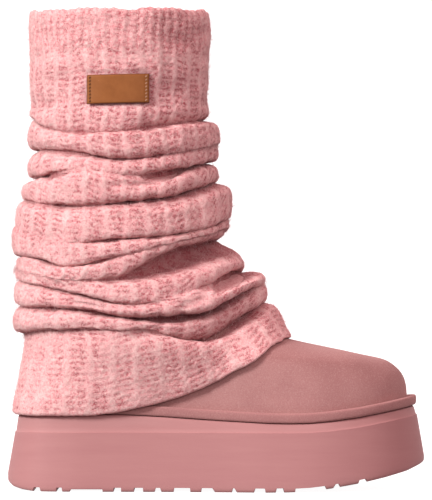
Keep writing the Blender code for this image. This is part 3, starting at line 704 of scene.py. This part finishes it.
def knit_forms(upper):
    """The knit's outside, with how far in it lies, and its inside, as smooth surfaces from rim to hem. Each
    crease pulls the leg's oval in by its depth, under a lip of the fold above, and each fold between two
    creases fills it out again."""
    angles = turns(KNIT_COLUMNS)
    outer, depths, inner = [], [], []

    def lay(shape, z, inset, depth=None):
        """A row of the outside. It lies in by its inset, unless a depth is given."""
        outer.append(oval_row(shape, z, inset, angles))
        depths.append(0 * angles + (inset if depth is None else depth))

    def line(shape, z, inset):
        """A row of the inside, a wall further in."""
        inner.append(oval_row(shape, z, inset + KNIT_WALL, angles))

    for rise, inset in RIM:
        lay(CUFF, BOOT_HEIGHT + rise, inset, 0)
    for share, inset in CUFF_ROWS:
        full = PLATFORM_HEIGHT + share * LEG_HEIGHT
        lay(CUFF, full, inset, 0)
    line(CUFF, BOOT_HEIGHT - 0.003, 0)
    line(CUFF, LABEL_Z, 0.001)
    levels = [*(np.array(crease["HEIGHT"]) / 1000 for crease in CREASES), HEM_HEIGHT]
    heights = [PLATFORM_HEIGHT + LEG_HEIGHT * around(level, angles) for level in levels]
    above, sunk = CUFF, 0.0
    for k, (crease, below) in enumerate(zip(CREASES, FOLDS)):
        sizes = (np.array(crease.get(name, [0])) / 100 for name in ("DEPTH", "UNDER", "SHOULDER", "WELL"))
        depth, lean, shoulder, well = (FOLD_DEPTH * around(size, angles) for size in sizes)
        depth = np.maximum(depth, 0)
        strong = held(depth / (0.45 * FOLD_DEPTH))
        halfway = [(a + b) / 2 for a, b in zip(above[:3], below)]
        z, last = heights[k], full
        full = (1 - below[3]) * z + below[3] * heights[k + 1]
        hang = np.maximum(-lean, 0) * strong
        under = np.minimum(np.maximum(lean, 0.3 * FOLD_DEPTH), 0.8 * (last - z))
        under = under * strong + 0.7 * (last - z) * (1 - strong)
        well = np.minimum(np.maximum(well, 0) * strong, 0.6 * (z - full))
        shoulder = np.minimum(shoulder + 0.5 * hang, 0.8 * (z - full - well))
        shoulder = shoulder * strong + 0.7 * (z - full) * (1 - strong)
        deep = DEEPER * depth
        for turn in (0.25, 0.75, 1.2):  # along the quarter oval of the underside
            level = z + under * (1 - np.sin(turn)) - hang * np.sin(turn) ** 2
            lay(above, level, 0.9 * deep * (1 - np.cos(turn)) + sunk)
        lay(halfway, z + 0.0003, deep + sunk)
        line(halfway, z, deep + sunk)
        sunk = FOLD_DEPTH * around(SUNK, angles) * (k == len(CREASES) - 2)
        bottom, rising, shallow = (np.maximum(share * depth, sunk) for share in (DEEPER, 0.5, 0.12))
        lay(halfway, z - 0.0006 - well, bottom)
        line(halfway, z - 0.0006 - well, bottom)
        lay(below, z - well - 0.45 * shoulder, rising)
        lay(below, z - well - shoulder, shallow)
        line(below, z - well - shoulder, shallow)
        lay(below, full, sunk)
        line(below, full, sunk)
        above = below
    cloud, normals = (part[:92:2, ::2].reshape(-1, 3) for part in (upper, normals_of(upper)))

    def seat(row):
        return evened(clear_of(row, cloud, normals, angles))

    hem = oval_row(HEM, 0.0, 0.0, angles)
    hem[:, 2] = np.maximum(heights[-1], along(SIDE_TOP, hem[:, 0]) + 2 * FIT)
    spot, normal = closest(hem, cloud, normals)
    seated = seat(np.column_stack([(spot + normal * 3 * FIT)[:, :2], hem[:, 2]]))
    low = seat(inner[-1])
    outer[-1] = outer[-1] + low - inner[-1]
    inner[-1] = low
    inner += [*(seat(low + (seated - low) * share) for share in (0.3, 0.6, 0.85)), seated]
    for row, extra in zip(inner[-4:], (0.0002, 0.0, 0.0004, 0.0)):
        out = row.copy()
        out[:, :2] += outward(row[:, :2]) * (KNIT_WALL + extra)
        outer.append(out)
    up = np.array([0, 0, 1.0])
    outer += [(outer[-1] + seated) / 2 - 0.001 * up, seated + 0.0004 * up, seated + 0.003 * up]
    inner[-1] = outer[-1]
    depths += [0 * angles] * (len(outer) - len(depths))
    return soft_rows(np.dstack([outer, depths]), 12), soft_rows(inner, 2)


def even_steps(rows, count):
    """The same surface with its rows at equal mean distances, and that distance for each row."""
    gap = np.linalg.norm(np.diff(rows[..., :3], axis=0), axis=2).mean(axis=1)
    run = np.concatenate([[0], np.cumsum(gap)])
    place = np.interp(np.linspace(0, run[-1], count), run, np.arange(len(rows)))
    low = np.minimum(place.astype(int), len(rows) - 2)
    f = (place - low)[:, None, None]
    return rows[low] * (1 - f) + rows[low + 1] * f, np.linspace(0, run[-1], count)


def loops_of_yarn(rows, run):
    """Relief and hollows of the knit, and each point's rib. Raised ribs run down the leg at equal shares of
    its girth. Between each pair lies a ladder: level bars of yarn, with a dark gap between each two. Near the
    rim there are only ribs, at half the spacing. Wavy offsets keep the lines from being ruled."""
    x, z = rows[..., 0], rows[..., 2]
    gap = np.linalg.norm(np.roll(rows, -1, axis=1) - rows, axis=2)
    girth = np.cumsum(gap, axis=1)
    rib = RIBS * (girth - girth[:, :1]) / girth[:, -1:]
    rib = rib + 0.05 * swell(rows, 0.03, 41) + 0.03 * swell(rows, 0.006, 47)
    steps = np.linalg.norm(np.diff(rows, axis=0, prepend=rows[:1]), axis=2)
    down = np.cumsum(steps, axis=0)
    share = held((down / down[-1:] - 0.1) / 0.65)
    course = (down + (run[-1] - down[-1:]) * share**2 * (3 - 2 * share)) / COURSE
    course = course + 0.2 * swell(rows, 0.04, 42) + 0.13 * swell(rows, 0.006, 43)
    from_rib = np.abs(rib - np.round(rib))  # 0 on a rib, 0.5 midway
    crest = held((0.2 - from_rib) / 0.13)
    bar = 0.5 + 0.5 * np.cos(2 * np.pi * course)
    broken = np.clip(0.85 + 0.6 * swell(rows, 0.0042, 48), 0.3, 1.1)
    gap_shade = held((0.8 - bar) / 0.6) * broken
    gap_wear_and_painted_light = np.clip(0.95 + 0.35 * swell(rows, 0.011, 44) + 0.45 * swell(rows, 0.045, 45), 0.3, 1.4)
    hole = held(1.1 - ((from_rib - 0.33) / 0.13) ** 2)
    hollow = (1 - crest) * (0.2 + (0.42 + 0.44 * hole) * gap_shade)
    cuff = held((z - (BOOT_HEIGHT - 0.029)) / 0.004)
    trough = 0.5 - 0.5 * np.cos(4 * np.pi * rib)
    hollow = hollow * (1 - cuff) + cuff * (0.16 + 0.34 * trough**1.5 + 0.12 * (1 - bar))
    relief = 0.0005 * crest + 0.00018 * (bar + 0.5 * (1 - hole)) * (1 - crest)
    relief = relief * (1 - cuff) + cuff * (0.00045 * (1 - trough) + 0.0002 * bar)
    below_cuff = bell((z - (BOOT_HEIGHT - 0.033)) / 0.003)
    gap_wear_and_painted_light = gap_wear_and_painted_light + 0.62 * bell((x + 0.045) / 0.04, (z - 0.25) / 0.055)  # painted shade: more dark gaps in the cuff's middle
    gap_wear_and_painted_light = gap_wear_and_painted_light - 0.34 * bell((x + 0.062) / 0.04, (z - 0.085) / 0.024)  # painted light: fewer dark gaps on the hem behind the middle
    behind = held((-0.07 - x) / 0.06)  # fewer dark gaps, so paler, towards the back
    hollow = hollow * gap_wear_and_painted_light * (1 - 0.35 * behind) * (1 - 0.7 * below_cuff)
    hem = held(1 - (run[-1] - run[:, None] - 0.006) / 0.002)
    rim = held((z - (BOOT_HEIGHT - 0.004)) / 0.004)
    relief = relief * (1 - hem) * (1 - 0.75 * rim) + 0.0006 * hem
    hollow = hollow * (1 - 0.85 * hem)
    relief = relief + 0.00014 * swell(rows, 0.0032, 46)
    return relief, held(hollow), rib


def make_knit(upper, knit):
    """The leg: smooth folds, then tucks and broad softness, then the yarn's relief along the normals. It is
    four joined lengths of one tube, each a closed wall."""
    outer, inner = knit_forms(upper)
    outer, run = even_steps(outer, KNIT_ROWS)
    outer, sunk = outer[..., :3], outer[..., 3]
    normals = -normals_of(outer)
    for x, z, long, wide, rise, depth in TUCKS:
        across, up = outer[..., 0] - x, outer[..., 2] - z
        along_it = (across + rise * up) / np.hypot(1, rise)
        over_it = (up - rise * across) / np.hypot(1, rise)
        share = bell((along_it / long) ** 2, over_it / wide) * (outer[..., 1] < 0)
        outer = outer - normals * (depth * share)[..., None]
    normals = -normals_of(outer)
    soft = 0.0007 * swell(outer, 0.032, 51) + 0.0004 * swell(outer, 0.014, 52)
    soft = soft * np.clip(0.3 + (outer[..., 2] - 0.1) / 0.015, 0.3, 1)
    outer = outer + normals * soft[..., None]
    relief, hollow, rib = loops_of_yarn(outer, run)
    # painted shade for the knit's colour: 1 in the creases and where the leg lies far in
    crease = held(np.maximum(hollows_of(outer, 15) / 0.0036, (sunk - 0.0015) / 0.007))
    across = np.abs(outer[..., 0] - LABEL_X) - LABEL_LENGTH / 2
    up = np.abs(outer[..., 2] - LABEL_Z) - LABEL_HEIGHT / 2
    near = held(1 - np.maximum(across, up) / 0.0035)  # under and round the patch, the knit is pressed flat
    near = near * (outer[..., 1] < 0) * (outer[..., 2] > LABEL_Z - 0.02)
    relief = relief * (1 - 0.8 * near) - 0.001 * near
    normals = -normals_of(outer)
    dressed = outer + normals * relief[..., None]
    scallop = held((dressed[..., 2] - (BOOT_HEIGHT - 0.006)) / 0.006)
    dressed[..., 2] += scallop * (0.00028 * np.cos(2 * np.pi * 2 * rib) + 0.0004 * swell(dressed, 0.012, 53))
    cuts = [*(k * KNIT_ROWS // 4 for k in range(4)), KNIT_ROWS - 1]
    heights = inner[..., 2].mean(axis=1)
    wall_cuts = [int(np.argmin(np.abs(heights - outer[cut, :, 2].mean()))) for cut in cuts[1:-1]]
    wall_cuts = [0, *wall_cuts, len(inner) - 1]
    for k, name in enumerate(("knit_cuff", "knit_high_folds", "knit_low_folds", "knit_hem")):
        part = slice(cuts[k], cuts[k + 1] + 1)
        front = dressed[part]
        back = inner[wall_cuts[k]:wall_cuts[k + 1] + 1][::-1]
        rows = np.concatenate([front, back])
        shades = {
            label: np.concatenate([shade[part], np.full(back.shape[:2], inside)])
            for label, shade, inside in (("hollow", hollow, 0.3), ("crease", crease, 0.2))
        }
        item = add_piece(name, rows, ring_faces(len(rows), KNIT_COLUMNS, True), [knit], shades)
        keep_ends_crisp(item, len(front), len(rows))
        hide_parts("knit_shaft")
    return dressed, normals


def keep_ends_crisp(item, front_rows, all_rows):
    """Marks the edges where the outside meets the butted ends, so that shading runs on between lengths."""
    mesh = item.data
    pairs = np.empty(len(mesh.edges) * 2, np.int32)
    mesh.edges.foreach_get("vertices", pairs)
    row = pairs.reshape(-1, 2) // KNIT_COLUMNS
    level = row[:, 0] == row[:, 1]
    sharp = level & np.isin(row[:, 0], (0, front_rows - 1, front_rows, all_rows - 1))
    layer = mesh.attributes.new("sharp_edge", "BOOLEAN", "EDGE")
    layer.data.foreach_set("value", sharp)

def make_fuzz(rows, normals, fibre):
    """Loose hairs: each a bent three-sided needle from a base in the knit, over a knee, to a point."""
    rng = np.random.default_rng(61)
    row = rng.integers(2, len(rows) - 14, FIBRES)
    column = rng.integers(0, rows.shape[1], FIBRES)
    base, up = rows[row, column], normals[row, column]
    side = unit(np.cross(up, unit(rng.normal(size=(FIBRES, 3)))))
    length = rng.uniform(0.0018, 0.0042, (FIBRES, 1))
    knee = base + length * (0.42 * up + 0.25 * side)
    tip = knee + length * (0.12 * up + 0.55 * side + 0.18 * rng.normal(size=(FIBRES, 3)))
    thick = rng.uniform(0.00005, 0.00009, (FIBRES, 1))
    other = unit(np.cross(side, up))
    spokes = [np.cos(a) * other + np.sin(a) * up for a in (0.3, 2.4, 4.5)]
    low = [base - up * 0.0003 + thick * s for s in spokes]
    points = np.stack([*low, *(knee + 0.8 * thick * s for s in spokes), tip], axis=1)
    pattern = np.array([
        (0, 2, 1), (0, 1, 4), (0, 4, 3), (1, 2, 5), (1, 5, 4),
        (2, 0, 3), (2, 3, 5), (3, 4, 6), (4, 5, 6), (5, 3, 6),
    ])
    faces = (np.arange(FIBRES)[:, None, None] * 7 + pattern[None]).reshape(-1, 3)
    add_piece("knit_fuzz", points, faces, [fibre], {"hollow": np.zeros(FIBRES * 7)})


def make_label(leather, dark, pale):
    """The bare patch: a plate with eased edges that follows the cuff's curve, sewn at both ends."""
    cuff = oval_row(CUFF, LABEL_Z, 0.0008, turns(720))
    side = cuff[cuff[:, 1] < 0]
    side = side[np.argsort(side[:, 0])]

    def face_y(x):
        return np.interp(x, side[:, 0], side[:, 1]) - 0.0004

    across, up = np.meshgrid(np.linspace(-1, 1, 61), np.linspace(-1, 1, 31))
    corner = 0.0012
    x = LABEL_X + across * LABEL_LENGTH / 2
    z = LABEL_Z + up * LABEL_HEIGHT / 2 + LABEL_TILT * (x - LABEL_X)
    edge = np.minimum((1 - np.abs(across)) * LABEL_LENGTH / 2, (1 - np.abs(up)) * LABEL_HEIGHT / 2)
    rise = LABEL_THICK * np.sqrt(1 - (1 - held(edge / corner)) ** 2) * 0.55 + LABEL_THICK * 0.45
    sewn = bell((np.abs(across) * LABEL_LENGTH / 2 - (LABEL_LENGTH / 2 - 0.0022)) / 0.0007)
    rise = rise - 0.0003 * sewn + 0.00008 * swell(np.stack([x, 0 * x, z], axis=-1), 0.012, 71)
    front = np.stack([x, face_y(x) - rise, z], axis=-1)
    back = np.stack([x, face_y(x), z], axis=-1)
    count, width = x.shape
    quads = ring_faces(count, width, False).reshape(count - 1, width, 4)[:, :-1].reshape(-1, 4)
    rim = np.concatenate([
        np.arange(width), width * np.arange(1, count) + width - 1,
        width * (count - 1) + np.arange(width - 2, -1, -1), width * np.arange(count - 2, 0, -1),
    ])
    ahead = np.roll(rim, -1)
    size = count * width
    sides = np.stack([rim, rim + size, ahead + size, ahead], axis=1)
    faces = np.concatenate([quads, quads[:, ::-1] + size, sides])
    points = np.concatenate([front.reshape(-1, 3), back.reshape(-1, 3)])
    darker = np.concatenate([held(1 - edge / 0.0007).ravel(), np.ones(size)])
    label = add_piece("leather_patch", points, faces, [leather], {"edge": darker})
    label.data.set_sharp_from_angle(angle=np.radians(60))
    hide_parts("label")
    # painted shadow: the back end's stitches are in the dark thread, standing in for the shadows between them
    for name, end, material in (("patch_stitches_back", -1, dark), ("patch_stitches_front", 1, pale)):
        stitches = []
        for k in range(8):
            x = LABEL_X + end * (LABEL_LENGTH / 2 - 0.0021)
            z = LABEL_Z + LABEL_HEIGHT * (k - 3.5) / 8.6 + LABEL_TILT * (x - LABEL_X)
            ends = [
                np.array([x + s * 0.0007, face_y(x + s * 0.0007) - LABEL_THICK * 0.98, z + s * 0.00055])
                for s in (-1, 1)
            ]
            stitches.append(capsule(*ends, 0.0003))
        points = np.concatenate([s[0] for s in stitches])
        faces = np.concatenate([s[1] + k * len(s[0]) for k, s in enumerate(stitches)])
        item = add_piece(name, points, faces, [material])
        close_middles(item)


def capsule(start, stop, radius):
    """A thread's visible length: rings along a line, each as wide as the root of its place's half-sine, and
    bowed outwards."""
    place = np.linspace(0, 1, 9)
    axis = unit(stop - start)
    side = unit(np.cross(axis, np.array([0.0, 1.0, 0.0])))
    out = np.cross(side, axis)
    turn = turns(8)
    arch = np.sin(np.pi * place)
    reach = radius * np.maximum(arch, 1e-6) ** 0.5
    bow = np.array([0, -0.6 * radius, 0])
    middle = start + (stop - start) * place[:, None] + bow * arch[:, None]
    ring = np.cos(turn)[:, None] * side + np.sin(turn)[:, None] * out
    points = middle[:, None] + reach[:, None, None] * ring[None]
    return points.reshape(-1, 3), ring_faces(len(place), len(turn), False)


def make_set():
    """A pale floor that sweeps up into a wall behind: a profile carried across. Its back is clear."""
    curve = np.linspace(0, np.pi / 2, 14)
    y = np.concatenate([[-4.0], 1.6 + 0.8 * np.sin(curve), [2.4]])
    z = np.concatenate([[0.0], 0.8 - 0.8 * np.cos(curve), [4.0]])
    points = np.array([[x, a, b] for a, b in zip(y, z) for x in (-4.0, 4.0)])
    faces = [(2 * k, 2 * k + 1, 2 * k + 3, 2 * k + 2) for k in range(len(y) - 1)]
    mesh = bpy.data.meshes.new("studio_floor")
    mesh.from_pydata(points.tolist(), [], faces)
    mesh.polygons.foreach_set("use_smooth", np.ones(len(faces), bool))
    floor = add_object("studio_floor", mesh)
    paper = bpy.data.materials.new("white_paper")
    paper.use_nodes = True
    tree = paper.node_tree
    shader = tree.nodes["Principled BSDF"]
    glow = {"Emission Color": (1, 1, 1, 1), "Emission Strength": FLOOR_GLOW}
    fill(tree, shader, {"Base Color": PAPER, "Roughness": 1.0, **glow})
    back = add_node(tree, "NewGeometry", {}).outputs["Backfacing"]
    clear = add_node(tree, "BsdfTransparent", {}).outputs[0]
    either = add_node(tree, "MixShader", {0: back, 1: shader.outputs[0], 2: clear})
    fill(tree, tree.nodes["Material Output"], {"Surface": either.outputs[0]})
    mesh.materials.append(paper)
    floor.visible_diffuse = False


def make_lights():
    """A wide soft light from the heel's side in front, a weak one from the toe's side, and a pale sky."""
    for name, power, size, place, colour in LIGHTS:
        lamp = bpy.data.lights.new(name, "AREA")
        lamp.shape = "DISK"
        lamp.size = size
        lamp.energy = power
        lamp.color = colour
        item = add_object(name, lamp)
        item.location = place
        item.rotation_euler = (Vector(LIT_POINT) - Vector(place)).to_track_quat("-Z", "Y").to_euler()
    world = bpy.data.worlds.new("studio")
    world.use_nodes = True
    tree = world.node_tree
    way = add_node(tree, "TexCoord", {}).outputs["Generated"]
    rise = add_node(tree, "SeparateXYZ", {0: way}).outputs["Z"]
    glow = map_range(tree, rise, -0.2, 0.9, *SKY)
    fill(tree, tree.nodes["Background"], {"Color": SKY_TINT, "Strength": glow})
    bpy.context.scene.world = world


def make_camera():
    """A level long lens from the outer side at half the boot's height, for 500 pixels of PIXEL metres."""
    camera = bpy.data.cameras.new("camera")
    camera.sensor_width = 36
    camera.lens = camera.sensor_width * CAMERA_DISTANCE / (500 * PIXEL)
    item = add_object("camera", camera)
    item.location = (CAMERA_X, -CAMERA_DISTANCE, CAMERA_HEIGHT)
    item.rotation_euler = (np.pi / 2, 0, 0)
    bpy.context.scene.camera = item


make_camera()
make_set()
make_lights()
knit = knit_material()
suede = suede_material("suede", ink(170, 125, 122), ink(157, 109, 108), ink(186, 150, 146))
binding = suede_material("suede_binding", ink(165, 118, 116), ink(152, 104, 104), ink(181, 143, 138))
foam = foam_material("moulded_foam", ink(168, 119, 119), ink(172, 124, 123))
# painted light: the step band's foam is a lighter copy of the platform's, for the light it catches
foam_painted_lighter = foam_material("moulded_foam_painted_lighter", ink(174, 125, 124), ink(178, 131, 130))
fleece = fleece_material()
leather = leather_material()
make_platform(foam, foam_painted_lighter)
upper = make_upper(suede, fleece)
make_welt(binding)
make_footbed(fleece)
knit_rows, knit_normals = make_knit(upper, knit)
make_fuzz(knit_rows, knit_normals, plain_material("loose_fibre", 1.0, 0.4, ink(224, 183, 181)))
# painted shadow: a dark thread for the stitches at the patch's back end, where they are shaded
painted_shadow_thread = plain_material("painted_shadow_thread", 0.8, 0.0, ink(69, 35, 24))
pale_thread = plain_material("pale_thread", 0.8, 0.0, ink(192, 159, 132))
make_label(leather, painted_shadow_thread, pale_thread)
bpy.context.scene.view_settings.view_transform = "Standard"
